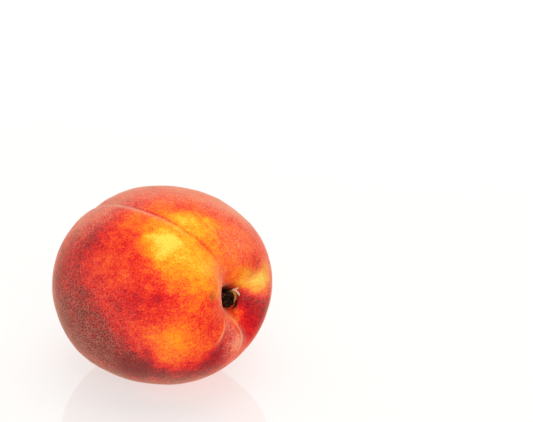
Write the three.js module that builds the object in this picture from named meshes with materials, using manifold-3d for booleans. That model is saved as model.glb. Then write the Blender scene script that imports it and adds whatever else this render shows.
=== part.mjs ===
// A ripe peach, picked with a torn stump of its stalk, lying on its back on a small flat spot.
//
// The fruit is drawn in its own frame: z runs from the stone to the stem end, x to the suture and
// y to the fuller cheek. It is then turned to the way it lies, with +Z up and the origin in the
// middle of the flat spot that it rests on. Millimetres and degrees throughout.
import * as THREE from "three";
import { mergeVertices } from "three/addons/utils/BufferGeometryUtils.js";
import Module from "manifold-3d";

const wasm = await Module();
wasm.setup();

// How the fruit lies
const STEM_HEADING = -45; // the stem end points this far round from +X
const STEM_RISE = 3.5; // and this far above the level
const SUTURE_LEAN = 17.7; // the suture leans this far from the top towards the thinner cheek
const FLAT_DEPTH = 0.8; // pressed off the lowest point by its own weight

// Outline from the stem end to the blossom end: [angle from the stem axis, distance from the centre]
const MERIDIAN = [
  [0, 36.6],
  [25, 36.0],
  [50, 34.6],
  [75, 33.0],
  [100, 33.5],
  [125, 35.8],
  [150, 38.0],
  [180, 36.8],
];
const OVAL = 0.06; // share by which the cross section is wider across the cheeks
const FULLER_CHEEK = 0.09; // share by which one cheek stands out further than the other
const SUTURE_SIDE = -0.02; // share by which the suture side is lower than the back
const TIP_HEIGHT = 1.0; // the blossom end's small point
const TIP_WIDTH = 8;

// Suture: a wide, shallow valley along the top. [angle from the stem axis, depth]
const SUTURE_DEPTH = [
  [0, 0.5],
  [14, 2.4],
  [30, 2.2],
  [60, 1.3],
  [90, 0.9],
  [125, 0.7],
  [180, 0.3],
];
const SUTURE_WIDTH = 0.16; // share of the radius
const SUTURE_BEND = 0.045; // how far the suture strays towards the fuller cheek at the blossom end
const BEND_TILT = 95; // angle from the stem axis at which it is halfway there
const BEND_FADE = 12;
const SUTURE_START = 0.02; // where the valley fades out, near the stem axis
const SUTURE_FADE = 0.04;

// Stem cavity: a funnel with a narrow throat at its bottom
const SHOULDER = 36; // distance at which the cavity's widths are measured
const CAVITY_DEPTH = 9.5;
const CAVITY_TO_SUTURE = 12;
const CAVITY_TO_BACK = 11;
const CAVITY_TO_FULLER = 9;
const CAVITY_TO_THINNER = 10.5;
const CAVITY_STEEPNESS = 2.6;
const CAVITY_BLEND = 2; // width of the change from one side's reach to the other's
const THROAT_DEPTH = 5;
const THROAT_RADIUS = 5.6;

// Folds in the cavity's lower lip: heading round the stem axis from the suture, distance out,
// angular width, radial width and height
const LIP_FOLDS = [
  { heading: 118, out: 13, spread: 11, reach: 5, height: -1.5 },
  { heading: 148, out: 13, spread: 14, reach: 6, height: 0.5 },
  { heading: 176, out: 12, spread: 14, reach: 5, height: -1.0 },
];

const STEM_WAY = new THREE.Vector3(0, 0, 1);
const CHEEK_WAY = new THREE.Vector3(0, 1, 0);

// Stump of the stalk, rooted in a socket in the flesh: [height along the stem axis, radius]
const STUMP = [
  [20.8, 1.5],
  [22.2, 1.7],
  [23.4, 1.95],
  [24.6, 2.5],
  [25.6, 3.0],
  [26.6, 3.1],
  [27.4, 2.6],
];
const STUMP_ROD = { sides: 18, rings: 12, ridge: 0.12, facing: CHEEK_WAY };
const GAP = 0.35; // left between the stump's root and its socket
const SOCKET_RADIUS = 2.3;
const SOCKET_FLOOR = STUMP[0][0] - GAP;
const SOCKET_TOP = 24;
const SOCKET_SIDES = 20;

// Torn bits on the stump's thinner-cheek side: routes through the fruit's own frame, with the
// radius at even steps along each
const CHIP_ROUTE = [
  [2.1, -2.2, 27.9],
  [0.5, -2.1, 28.1],
  [-0.8, -1.6, 28.1],
  [-1.7, -1.0, 28.0],
];
const CHIP_RADII = [0.2, 0.36, 0.36, 0.2];
const CHIP_ROD = { sides: 8, rings: 8, ridge: 0.2, flatten: 0.5, facing: STEM_WAY };
const FIBRE_ROUTE = [
  [3.1, -1.8, 27.5],
  [1.9, -3.4, 28.2],
  [1.9, -4.4, 28.5],
];
const FIBRE_RADII = [0.22, 0.3, 0.14];
const FIBRE_BRANCH = [
  [1.8, -3.2, 28.2],
  [0.7, -3.1, 28.6],
  [-0.6, -3.4, 28.9],
];
const BRANCH_RADII = [0.18, 0.26, 0.14];
const FIBRE_ROD = { sides: 7, rings: 7, ridge: 0.2, facing: STEM_WAY };
const HOOK_ROUTE = [
  [-0.8, -2.8, 28.0],
  [-2.2, -2.1, 28.1],
  [-3.1, -0.9, 28.1],
  [-3.0, 0.7, 28.0],
];
const HOOK_RADII = [0.2, 0.33, 0.3, 0.15];
const HOOK_ROD = { sides: 7, rings: 10, ridge: 0.25, facing: STEM_WAY };

const RIDGE_COUNT = 3; // ridges round a torn rod, and how far they twist from end to end
const RIDGE_TWIST = 2.3;

const SKIN_DETAIL = 16; // subdivisions of the ball that the skin starts from
const STEM_END_CROWDING = 0.4; // share by which its triangles are finer at the stem end

const MERGE_DISTANCE = 1e-4; // corners nearer than this are one
const FLATNESS = 1e-3; // and facets this near the flat spot's height lie in it
const TABLE_SIZE = 200;

const SKIN = { color: 0xe24a2e, roughness: 0.62, metalness: 0 };
const DARK_BARK = { color: 0x2a1710, roughness: 0.9, metalness: 0 };
const AMBER_WOOD = { color: 0xb97a22, roughness: 0.75, metalness: 0 };
const PALE_FIBRE = { color: 0xe6c3a4, roughness: 0.8, metalness: 0 };

const { degToRad, radToDeg } = THREE.MathUtils;
const bell = (value, width) => Math.exp(-((value / width) ** 2));
const step = (value, width) => 1 / (1 + Math.exp(-value / width));

// A smooth curve through a short list of [place, value] points.
function through(points, place) {
  const last = points.length - 1;
  const slope = (i) =>
    i <= 0 || i >= last
      ? 0
      : (points[i + 1][1] - points[i - 1][1]) / (points[i + 1][0] - points[i - 1][0]);
  let i = 0;
  while (i < last - 1 && place > points[i + 1][0]) i += 1;
  const [x0, y0] = points[i];
  const [x1, y1] = points[i + 1];
  const span = x1 - x0;
  const t = (place - x0) / span;
  return (
    (2 * t ** 3 - 3 * t ** 2 + 1) * y0 +
    (t ** 3 - 2 * t ** 2 + t) * span * slope(i) +
    (3 * t ** 2 - 2 * t ** 3) * y1 +
    (t ** 3 - t ** 2) * span * slope(i + 1)
  );
}

function bodyRadius(tilt, x, y) {
  const oval = 1 - OVAL * (x * x - y * y) + FULLER_CHEEK * y + SUTURE_SIDE * x;
  const tip = TIP_HEIGHT * bell(180 - tilt, TIP_WIDTH);
  return through(MERIDIAN, tilt) * oval + tip;
}

function sutureValley(tilt, x, y) {
  const bend = SUTURE_BEND * step(tilt - BEND_TILT, BEND_FADE);
  const along = through(SUTURE_DEPTH, tilt) * step(x - SUTURE_START, SUTURE_FADE);
  return along * bell(y - bend, SUTURE_WIDTH);
}

function stemCavity(x, y) {
  const [px, py] = [SHOULDER * x, SHOULDER * y];
  const reachX = THREE.MathUtils.lerp(CAVITY_TO_BACK, CAVITY_TO_SUTURE, step(px, CAVITY_BLEND));
  const reachY = THREE.MathUtils.lerp(CAVITY_TO_THINNER, CAVITY_TO_FULLER, step(py, CAVITY_BLEND));
  const out = Math.hypot(px / reachX, py / reachY);
  const funnel = CAVITY_DEPTH * Math.exp(-(out ** CAVITY_STEEPNESS));
  const throat = THROAT_DEPTH * Math.exp(-((Math.hypot(px, py) / THROAT_RADIUS) ** 4));
  return funnel + throat;
}

function lipFolds(x, y) {
  const heading = radToDeg(Math.atan2(y, x));
  const out = SHOULDER * Math.hypot(x, y);
  return LIP_FOLDS.reduce((height, fold) => {
    const turn = THREE.MathUtils.euclideanModulo(heading - fold.heading + 180, 360) - 180;
    return height + fold.height * bell(turn, fold.spread) * bell(out - fold.out, fold.reach);
  }, 0);
}

// Distance from the centre to the skin in the unit direction (x, y, z) of the fruit's own frame.
function skinRadius({ x, y, z }) {
  const tilt = radToDeg(Math.acos(THREE.MathUtils.clamp(z, -1, 1)));
  const radius = bodyRadius(tilt, x, y) - sutureValley(tilt, x, y);
  return z > 0 ? radius - stemCavity(x, y) + lipFolds(x, y) : radius;
}

// The turn from the fruit's own frame to the way it lies.
function lyingTurn() {
  const heading = degToRad(STEM_HEADING);
  const rise = degToRad(STEM_RISE);
  const stem = new THREE.Vector3(
    Math.cos(rise) * Math.cos(heading),
    Math.cos(rise) * Math.sin(heading),
    Math.sin(rise),
  );
  const up = new THREE.Vector3(0, 0, 1).addScaledVector(stem, -stem.z).normalize();
  const suture = up.applyAxisAngle(stem, degToRad(SUTURE_LEAN));
  const cheek = new THREE.Vector3().crossVectors(stem, suture);
  return new THREE.Matrix4().makeBasis(suture, cheek, stem);
}

function positionsOnly(geometry) {
  const bare = geometry.clone();
  for (const name of Object.keys(bare.attributes)) {
    if (name !== "position") bare.deleteAttribute(name);
  }
  return mergeVertices(bare, MERGE_DISTANCE);
}

function toSolid(geometry) {
  const merged = positionsOnly(geometry);
  return new wasm.Manifold(
    new wasm.Mesh({
      numProp: 3,
      vertProperties: new Float32Array(merged.attributes.position.array),
      triVerts: new Uint32Array(merged.index.array),
    }),
  );
}

function toGeometry(solid) {
  const mesh = solid.getMesh();
  const geometry = new THREE.BufferGeometry();
  geometry.setAttribute("position", new THREE.BufferAttribute(mesh.vertProperties, 3));
  geometry.setIndex(new THREE.BufferAttribute(mesh.triVerts, 1));
  return geometry;
}

function namedMesh(name, geometry, finish) {
  geometry.computeVertexNormals();
  const mesh = new THREE.Mesh(geometry, new THREE.MeshStandardMaterial(finish));
  mesh.name = name;
  return mesh;
}

// A ball of near-equal triangles, crowded towards the stem end, pushed out to the skin.
function skinGeometry() {
  const geometry = positionsOnly(new THREE.IcosahedronGeometry(1, SKIN_DETAIL));
  const position = geometry.attributes.position;
  const point = new THREE.Vector3();
  for (let i = 0; i < position.count; i += 1) {
    point.fromBufferAttribute(position, i).normalize();
    const tilt = Math.acos(THREE.MathUtils.clamp(point.z, -1, 1));
    const crowded = tilt - (STEM_END_CROWDING * Math.sin(tilt) * (1 + point.z)) / 2;
    const heading = Math.atan2(point.y, point.x);
    point.set(
      Math.sin(crowded) * Math.cos(heading),
      Math.sin(crowded) * Math.sin(heading),
      Math.cos(crowded),
    );
    point.multiplyScalar(skinRadius(point));
    position.setXYZ(i, point.x, point.y, point.z);
  }
  return geometry;
}

// Wraps the rings of a rod, and a hub at each end, into one closed surface.
function closedRings(rings, hubs) {
  const sides = rings[0].length;
  const faces = [];
  const corner = (ring, side) => ring * sides + (side % sides);
  for (let ring = 0; ring < rings.length - 1; ring += 1) {
    for (let side = 0; side < sides; side += 1) {
      const [a, b] = [corner(ring, side), corner(ring, side + 1)];
      faces.push(a, b, b + sides, a, b + sides, a + sides);
    }
  }
  const [startHub, endHub] = [rings.length * sides, rings.length * sides + 1];
  for (let side = 0; side < sides; side += 1) {
    faces.push(startHub, corner(0, side + 1), corner(0, side));
    faces.push(endHub, corner(rings.length - 1, side), corner(rings.length - 1, side + 1));
  }
  const places = [...rings.flat(), ...hubs].flatMap((p) => [p.x, p.y, p.z]);
  const geometry = new THREE.BufferGeometry();
  geometry.setAttribute("position", new THREE.Float32BufferAttribute(places, 3));
  geometry.setIndex(faces);
  return geometry;
}

// A closed rod along a curve, with its radius given at even steps, and ridged, uneven sides. Its
// flat side faces the given way: flatten is its thickness as a share of its width.
function roughRod(points, radii, options) {
  const { sides, rings, ridge, facing, flatten = 1 } = options;
  const curve = new THREE.CatmullRomCurve3(points.map((p) => new THREE.Vector3(...p)));
  const profile = radii.map((radius, i) => [i / (radii.length - 1), radius]);
  const made = [];
  for (let ring = 0; ring <= rings; ring += 1) {
    const t = ring / rings;
    const centre = curve.getPointAt(t);
    const tangent = curve.getTangentAt(t);
    const across = new THREE.Vector3().crossVectors(facing, tangent).normalize();
    const outward = new THREE.Vector3().crossVectors(tangent, across);
    const corners = [];
    for (let side = 0; side < sides; side += 1) {
      const turn = (side / sides) * 2 * Math.PI;
      const wave = Math.sin(RIDGE_COUNT * turn + RIDGE_TWIST * t) * Math.cos(turn);
      const uneven = 1 + ridge * t * wave;
      const out = through(profile, t) * uneven;
      corners.push(
        centre
          .clone()
          .addScaledVector(across, out * Math.cos(turn))
          .addScaledVector(outward, out * flatten * Math.sin(turn)),
      );
    }
    made.push(corners);
  }
  return closedRings(made, [curve.getPointAt(0), curve.getPointAt(1)]);
}

function socketGeometry() {
  const height = SOCKET_TOP - SOCKET_FLOOR;
  return new THREE.CylinderGeometry(SOCKET_RADIUS, SOCKET_RADIUS, height, SOCKET_SIDES)
    .rotateX(Math.PI / 2)
    .translate(0, 0, SOCKET_FLOOR + height / 2);
}

// The lower half space that presses the flat spot, with its top at the given height.
function tableGeometry(top) {
  const box = new THREE.BoxGeometry(TABLE_SIZE, TABLE_SIZE, TABLE_SIZE);
  return box.translate(0, 0, top - TABLE_SIZE / 2);
}

// The area-weighted middle of the facets that lie at the given height.
function flatSpotMiddle(geometry, height) {
  const position = geometry.attributes.position;
  const corners = [new THREE.Vector3(), new THREE.Vector3(), new THREE.Vector3()];
  const facet = new THREE.Triangle(...corners);
  const centre = new THREE.Vector3();
  const middle = new THREE.Vector3();
  let area = 0;
  for (let i = 0; i < geometry.index.count; i += 3) {
    corners.forEach((c, k) => c.fromBufferAttribute(position, geometry.index.getX(i + k)));
    if (corners.some((c) => Math.abs(c.z - height) > FLATNESS)) continue;
    const share = facet.getArea();
    middle.addScaledVector(facet.getMidpoint(centre), share);
    area += share;
  }
  return middle.divideScalar(area);
}

function makeFruit(turn) {
  const skin = toSolid(skinGeometry());
  const rooted = toGeometry(skin.subtract(toSolid(socketGeometry())));
  rooted.applyMatrix4(turn);
  rooted.computeBoundingBox();
  const flatHeight = rooted.boundingBox.min.z + FLAT_DEPTH;
  return { solid: toSolid(rooted).subtract(toSolid(tableGeometry(flatHeight))), flatHeight };
}

function makeStemPieces() {
  const stump = roughRod(
    STUMP.map(([height]) => [0, 0, height]),
    STUMP.map(([, radius]) => radius),
    STUMP_ROD,
  );
  const chip = roughRod(CHIP_ROUTE, CHIP_RADII, CHIP_ROD);
  const fibre = toSolid(roughRod(FIBRE_ROUTE, FIBRE_RADII, FIBRE_ROD));
  const branch = toSolid(roughRod(FIBRE_BRANCH, BRANCH_RADII, FIBRE_ROD));
  const hook = roughRod(HOOK_ROUTE, HOOK_RADII, HOOK_ROD);
  return [
    namedMesh("stem_stub", stump, DARK_BARK),
    namedMesh("torn_wood_chip", chip, AMBER_WOOD),
    namedMesh("pale_fibre_shred", toGeometry(fibre.add(branch)), PALE_FIBRE),
    namedMesh("hooked_bark_shred", hook, DARK_BARK),
  ];
}

function makePeach() {
  const turn = lyingTurn();
  const { solid, flatHeight } = makeFruit(turn);
  const skin = toGeometry(solid);
  const middle = flatSpotMiddle(skin, flatHeight);
  skin.translate(-middle.x, -middle.y, -flatHeight);

  const stem = new THREE.Group();
  stem.quaternion.setFromRotationMatrix(turn);
  stem.position.set(-middle.x, -middle.y, -flatHeight);
  stem.add(...makeStemPieces());

  const peach = new THREE.Group();
  peach.add(namedMesh("fruit", skin, SKIN), stem);
  return peach;
}

export default makePeach();
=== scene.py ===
"""A ripe peach lying on its back: fuzzy skin with a suture and a stem cavity, and a torn stalk stump.

The fruit is shaped in its own frame, in millimetres: z runs to the stem end, x to the suture and
y to the fuller cheek. It is then turned and moved to where the fixed frame holds it, in metres.
"""

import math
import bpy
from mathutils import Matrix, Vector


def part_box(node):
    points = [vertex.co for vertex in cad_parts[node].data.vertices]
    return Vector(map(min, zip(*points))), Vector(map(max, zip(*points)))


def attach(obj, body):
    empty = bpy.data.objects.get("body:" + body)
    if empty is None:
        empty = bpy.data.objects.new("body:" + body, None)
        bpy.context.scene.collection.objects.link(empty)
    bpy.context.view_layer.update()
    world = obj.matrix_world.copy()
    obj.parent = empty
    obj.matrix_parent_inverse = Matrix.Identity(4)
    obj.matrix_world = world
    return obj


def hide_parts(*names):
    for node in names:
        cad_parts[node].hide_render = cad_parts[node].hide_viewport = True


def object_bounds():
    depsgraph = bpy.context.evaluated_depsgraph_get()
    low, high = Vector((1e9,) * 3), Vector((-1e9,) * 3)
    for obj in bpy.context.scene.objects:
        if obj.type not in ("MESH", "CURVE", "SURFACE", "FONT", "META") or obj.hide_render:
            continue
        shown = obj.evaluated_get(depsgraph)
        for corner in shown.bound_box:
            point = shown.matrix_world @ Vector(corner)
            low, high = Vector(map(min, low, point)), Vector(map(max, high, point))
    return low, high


bl_info = {
    "name": "Ripe Peach",
    "version": (1, 0, 0),
    "blender": (4, 5, 0),
    "location": "View3D > Sidebar > Peach",
    "description": "Builds a ripe peach with fuzzy skin, a torn stalk stump and a studio stage",
    "category": "Object",
}

import bpy
import numpy as np
from bpy.props import FloatProperty, FloatVectorProperty, IntProperty, PointerProperty
from mathutils import Matrix, Vector, noise

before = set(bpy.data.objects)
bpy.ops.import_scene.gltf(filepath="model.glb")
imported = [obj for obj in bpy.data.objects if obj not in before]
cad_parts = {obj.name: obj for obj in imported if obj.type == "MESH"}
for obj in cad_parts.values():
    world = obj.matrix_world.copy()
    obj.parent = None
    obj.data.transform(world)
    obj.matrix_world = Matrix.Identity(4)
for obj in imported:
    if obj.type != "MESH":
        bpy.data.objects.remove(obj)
CAD_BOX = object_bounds()

MM = 0.001
BODY = "root"

# How the fruit lies, in degrees
STEM_HEADING = -45.0
STEM_RISE = 3.5
SUTURE_LEAN = 17.7

# In what follows, lengths are in millimetres and angles in degrees. The tilt of a place on the skin is
# its angle from the stem axis, and its heading is the angle round from the suture to the fuller cheek.

# Form of the fruit: (tilt, distance from the centre)
MERIDIAN = (
    (0, 36.6),
    (25, 36.0),
    (50, 34.6),
    (75, 33.0),
    (100, 33.5),
    (125, 35.8),
    (150, 38.0),
    (180, 36.8),
)

# How far the fruit is from round, as shares of its radius
OVAL = 0.06
FULLER_CHEEK = 0.09
SUTURE_SIDE = -0.02

# Point at the blossom end
TIP_HEIGHT = 1.0
TIP_WIDTH = 8.0

# Furrow of the suture: (tilt, depth), then its width, start and fade as shares of the radius
SUTURE_DEPTH = ((0, 0.5), (14, 2.4), (30, 2.2), (60, 1.3), (90, 0.9), (125, 0.7), (180, 0.3))
SUTURE_WIDTH = 0.16
SUTURE_START = 0.02
SUTURE_FADE = 0.04

# Bend of the suture to the fuller cheek, as a share of the radius, and the tilts that it comes in over
SUTURE_BEND = 0.045
SUTURE_BEND_TILT = 95
SUTURE_BEND_SPREAD = 12

# Distance from the centre to the shoulders and to the cavity's lip, which makes a share into a length
SHOULDER = 36.0
LIP_DISTANCE = 30.0

# Stem cavity: a funnel that reaches further to some sides than others, with a throat round the stalk
CAVITY_DEPTH = 9.5
CAVITY_TO_SUTURE = 12.0
CAVITY_TO_BACK = 11.0
CAVITY_TO_FULLER = 9.0
CAVITY_TO_THINNER = 10.5
CAVITY_STEEPNESS = 2.6
CAVITY_BLEND = 2.0
THROAT_DEPTH = 5.0
THROAT_RADIUS = 5.6

# Broad folds in the cavity's lower lip: heading, distance out, angular spread, reach and height
LIP_FOLDS = (
    (118, 13, 11, 5, -1.5),
    (148, 13, 14, 6, 0.5),
    (176, 12, 14, 5, -1.0),
)

# Fine line along the suture: (tilt, strength), and how far it wanders as a share of the radius
CREASE_STRENGTH = ((0, 0), (20, 0.1), (45, 0.6), (90, 0.8), (150, 0.6), (180, 0))
CREASE_WANDER = 0.012
CREASE_WANDER_GRAIN = 2.5

# Step from one cheek to the other, past the middle of the suture
OVERLAP_TILT = 118
OVERLAP_SPREAD = 26
OVERLAP_EDGE = 1.2
OVERLAP_REACH = 7

# Wall of the stem cavity, where the wrinkles run in and the soft lumps are fainter
WALL_OUT = 8.5
WALL_REACH = 5.5
WRINKLE_RAYS = 9
WRINKLE_LENGTH = 9
LUMP_GRAIN = 2.2
LUMP_LOSS = 0.7

# Pinch in the cavity's lip on the fuller side
PINCH_HEADING = 78
PINCH_SPREAD = 42
PINCH_OUT = 11
PINCH_REACH = 4.5

# Thin folds in the skin of the cavity's lip, and the lip's own edge: (tilt, heading)
LIP_RIDGES = (
    ((15, 86), (17, 99), (20, 103), (24, 105), (28, 106)),
    ((9, 124), (11, 136), (13, 147), (18, 155), (22, 154), (26, 147)),
)
LIP_EDGE = ((29, 5), (24, 17), (20, 37), (17, 58), (16, 69))
RIDGE_WIDTH = 0.6
# Painted highlights along the folds and the lip's edge: the folds' width, and the edge's width and
# strength
RIDGE_HIGHLIGHT_WIDTH = 0.4
LIP_HIGHLIGHT_WIDTH = 0.8
LIP_HIGHLIGHT_STRENGTH = 0.4

# Grid of the fruit's skin
STEM_END_CROWDING = 0.4
FITTING_ROWS = 48

# Stump of the stalk: (height along the stem axis, radius)
STUMP = ((20.8, 1.5), (22.2, 1.7), (23.4, 1.95), (24.6, 2.5), (25.6, 3.0), (26.6, 3.1), (27.4, 2.6))
STUMP_RINGS = 70
STUMP_SIDES = 120

# Cracks along the stump
FISSURE_GRAIN = 2.2
FISSURE_STRETCH = 0.3
FISSURE_START = 2
FISSURE_SHARPNESS = 2
FISSURE_LEVEL = 0.3

# Broken rim of the stump
BREAK_GRAIN = 1.8
BREAK_ROUGHNESS = 0.9
BREAK_CAP = 0.2
BREAK_HEIGHT = 1.6

# Hollow in the top of the stump, with its rings as shares of the way out to the rim
HOLLOW_RINGS = (0.88, 0.76, 0.62, 0.48, 0.34, 0.2)
HOLLOW_GRAIN = 1.1
HOLLOW_DEPTH = 0.5
HOLLOW_MIDDLE = 0.7
HOLLOW_ROUGHNESS = 0.9

# Torn bits that hang on the stump: each a route through the fruit's frame and a radius for each place
CHIP = ((2.0, -1.3, 27.0), (1.8, -1.9, 27.6), (0.4, -1.9, 28.0), (-0.8, -1.2, 28.1), (-1.7, -0.3, 28.0))
CHIP_RADII = (0.4, 0.52, 0.55, 0.5, 0.15)
FIBRE = ((2.1, -1.4, 27.0), (2.0, -2.5, 27.8), (2.1, -3.2, 28.2), (2.3, -3.9, 28.5))
FIBRE_RADII = (0.3, 0.45, 0.38, 0.12)
BRANCH = ((1.8, -2.6, 27.9), (1.1, -2.8, 28.3), (0.3, -2.9, 28.6), (-0.6, -3.0, 28.7))
BRANCH_RADII = (0.36, 0.36, 0.38, 0.12)
HOOK = ((-0.6, -0.9, 27.3), (-1.3, -1.5, 27.8), (-2.5, -1.2, 28.0), (-3.3, -0.2, 28.0), (-3.2, 1.3, 27.8))
HOOK_RADII = (0.4, 0.42, 0.46, 0.4, 0.1)

# Grain along the torn bits: how long it is drawn, and how much the edges fray along them
GRAIN_STRETCH = 1.2
FRAY_GRAIN = 2
FRAY_STRETCH = 7

# Ripeness painted on the skin, from 0, pale yellow, to 1, maroon:
# (tilt, heading, reach, ripeness, strength)
GROUND_RIPENESS = 0.62
RIPENESS_PATCHES = (
    # Blossom end, underside and the cheek that faces away
    (150, 20, 50, 0.82, 0.8),
    (95, 175, 45, 0.55, 0.8),
    (110, -140, 40, 0.42, 0.7),
    (80, -95, 36, 0.72, 0.8),
    # Dark cheek
    (106, 86, 38, 1.03, 0.95),
    (105, 130, 22, 0.95, 0.8),
    (78, 96, 14, 1.04, 0.85),
    (64, 94, 8, 0.98, 0.85),
    (72, 104, 9, 1.15, 1.0),
    (60, 106, 7, 1.06, 0.9),
    (60, 126, 14, 1.0, 0.95),
    (84, 118, 14, 1.02, 0.9),
    (42, 138, 10, 0.95, 0.9),
    (112, 50, 18, 0.88, 0.7),
    (104, 31, 6, 1.0, 1.0),
    (96, 35, 4, 0.88, 0.8),
    (88, 62, 6, 1.0, 0.9),
    (86, 84, 12, 1.04, 0.8),
    # Red middle with crimson blotches
    (82, 42, 18, 0.6, 0.9),
    (87, 27, 7, 0.68, 0.6),
    (78, 60, 10, 0.72, 0.7),
    (62, 62, 13, 0.72, 0.8),
    (64, 61, 6, 0.82, 0.8),
    (70, 59, 7, 0.8, 0.8),
    (54, 61, 7, 0.78, 0.8),
    (49, 55, 7, 0.84, 1.0),
    (56, 40, 6, 0.66, 0.6),
    # Orange below, with a crimson border
    (50, 116, 9, 0.97, 1.0),
    (38, 121, 8, 0.95, 1.0),
    (29, 124, 7, 0.92, 0.9),
    (39, 62, 11, 0.56, 0.9),
    (60, 74, 9, 0.56, 0.7),
    (45, 85, 14, 0.42, 1.0),
    (47, 82, 7, 0.36, 0.8),
    (21, 128, 6, 0.8, 0.9),
    (22, 78, 4, 0.68, 0.8),
    (29, 79, 3, 0.62, 0.7),
    # Gold along the suture
    (88, 10, 10, 0.46, 0.8),
    (85, -9, 9, 0.46, 0.8),
    (42, 18, 17, 0.24, 1.0),
    (37, 31, 9, 0.26, 0.9),
    (25, 33, 6, 0.36, 0.9),
    (45, 52, 7, 0.72, 0.9),
    (37, 51, 6, 0.54, 0.8),
    (60, 30, 6, 0.42, 0.6),
    (54, 28, 7, 0.3, 0.8),
    (71, 13, 6, 0.34, 0.8),
    (65, 17, 8, 0.08, 0.9),
    (59, 17, 10, -0.04, 1.0),
    (70, -36, 24, 0.54, 0.8),
    (36, -28, 10, 0.48, 0.9),
    (76, 4, 8, 0.3, 0.9),
    (48, -16, 6, 0.34, 0.7),
    (52, -6, 10, 0.24, 1.0),
    (64, -4, 8, 0.12, 1.0),
    # Walls of the stem cavity
    (34, -46, 10, 0.54, 0.9),
    (21, -142, 13, 0.96, 0.9),
    (12, -128, 8, 0.9, 0.9),
    (22, -14, 6, 0.44, 0.9),
    (15, -22, 5, 0.42, 1.0),
    (17, -55, 6, 0.24, 1.0),
    (20, -88, 8, 0.0, 1.0),
    (28, -82, 4, 0.25, 0.8),
    (25, -58, 5, 0.66, 0.9),
    (25, 150, 6, 0.5, 0.8),
    (12, 160, 7, 0.45, 0.9),
    (20, 178, 8, 0.78, 1.0),
    (12, 176, 3, 0.5, 0.8),
    (30, 135, 7, 0.85, 0.8),
)

# Pale fuzz over the skin, partly its own colour, partly painted sheen of lit fuzz: (tilt, heading, reach,
# share, strength)
FUZZ_AND_SHEEN_PATCHES = (
    (106, 92, 46, 0.2, 1.0),
    (72, 104, 12, 0.03, 1.0),
    (120, -20, 26, 0.5, 1.0),
    (92, -42, 26, 0.46, 1.0),
    (64, -56, 20, 0.52, 1.0),
    (124, 14, 18, 0.5, 0.9),
    (62, 130, 14, 0.26, 0.9),
    (36, -34, 13, 0.2, 1.0),
    (23, 140, 7, 0.5, 1.0),
    (14, 126, 4, 0.3, 0.9),
    (28, 10, 8, 0.16, 0.9),
    (20, -86, 9, 0.2, 0.9),
    (34, -112, 16, 0.25, 0.9),
)

# Painted highlight along the raised cheek's edge beside the suture: its distance from the line, its width
# and its strength
EDGE_HIGHLIGHT_OFFSET = 1.4
EDGE_HIGHLIGHT_WIDTH = 1.1
EDGE_HIGHLIGHT_STRENGTH = 0.5
EDGE_HIGHLIGHT_TILT = 100
EDGE_HIGHLIGHT_SPREAD = 28

# Small marks on the skin: (tilt, heading, reach)
SCUFF = (24, -60, 6)
SCUFF_STRENGTH = 0.65
BRUISE = (25.5, 44, 2)

# Painted shade in the throat round the stalk, and the reach of the cavity's own mottling, by distance out
# from the stem axis
THROAT_SHADE_RADIUS = 4.6
CAVITY_PAINT_RADIUS = 12

# Darker colour along the suture's line, its own colour with painted shade in the crease: the tilts it
# starts and ends at, and its share of the line's width
CREASE_PAINT_START = 34
CREASE_PAINT_START_FADE = 4
CREASE_PAINT_END = 140
CREASE_PAINT_END_FADE = 8
CREASE_PAINT_WIDTH = 0.7
CREASE_DARKENING = 0.21

# Share of coarse to fine relief in the material of the skin
COARSE_RELIEF = 1.5

# How much finer each layer of noise is than the one before
FINER = 2.0

# Offsets that keep one noise from looking like another
CREASE_SEED = 7
RAGGED_SEED = 11
BREAK_SEED = 4
HOLLOW_SEED = 9

# Lamps: place from the middle of the fruit and size, in metres
SOFTBOX_PLACE = (0.10, 0.05, 0.80)
SOFTBOX_SIZE = 0.9
FILL_PLACE = (0.05, -0.75, 0.45)
FILL_SIZE = 0.6

# Camera's sensor, and the facets round the table
SENSOR_WIDTH = 36
TABLE_SIDES = 96

# Most of a noise texture's values lie between these
NOISE_LOW = 0.3
NOISE_HIGH = 0.7

# Numbers of the sockets of a node that mixes two colours
MIX_SHARE, MIX_FIRST, MIX_SECOND, MIX_RESULT = 0, 6, 7, 2


# ---------------------------------------------------------------------------------------------
# Settings
# ---------------------------------------------------------------------------------------------


def painted(red, green, blue):
    """A screen colour from 0 to 255, as the linear colour that a shader takes."""
    return tuple(
        c / 255 / 12.92 if c <= 10.31 else ((c / 255 + 0.055) / 1.055) ** 2.4
        for c in (red, green, blue)
    )


def colour(name, description, *value):
    """A colour setting, with its default given as a screen colour."""
    return FloatVectorProperty(
        name=name,
        description=description,
        default=painted(*value),
        size=3,
        min=0,
        max=1,
        subtype="COLOR",
    )


def length(name, description, millimetres):
    """A length setting, with its default given in millimetres."""
    return FloatProperty(
        name=name,
        description=description,
        default=millimetres * MM,
        min=0,
        precision=5,
        subtype="DISTANCE",
        unit="LENGTH",
    )


def portion(name, description, value):
    """A setting between 0 and 1."""
    return FloatProperty(name=name, description=description, default=value, min=0, max=1)


def brightness(name, description, value):
    """A setting from 0 up."""
    return FloatProperty(name=name, description=description, default=value, min=0)


def power(name, description, watts):
    """A lamp's power setting, in watts."""
    return FloatProperty(name=name, description=description, default=watts, min=0, unit="POWER")


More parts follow.
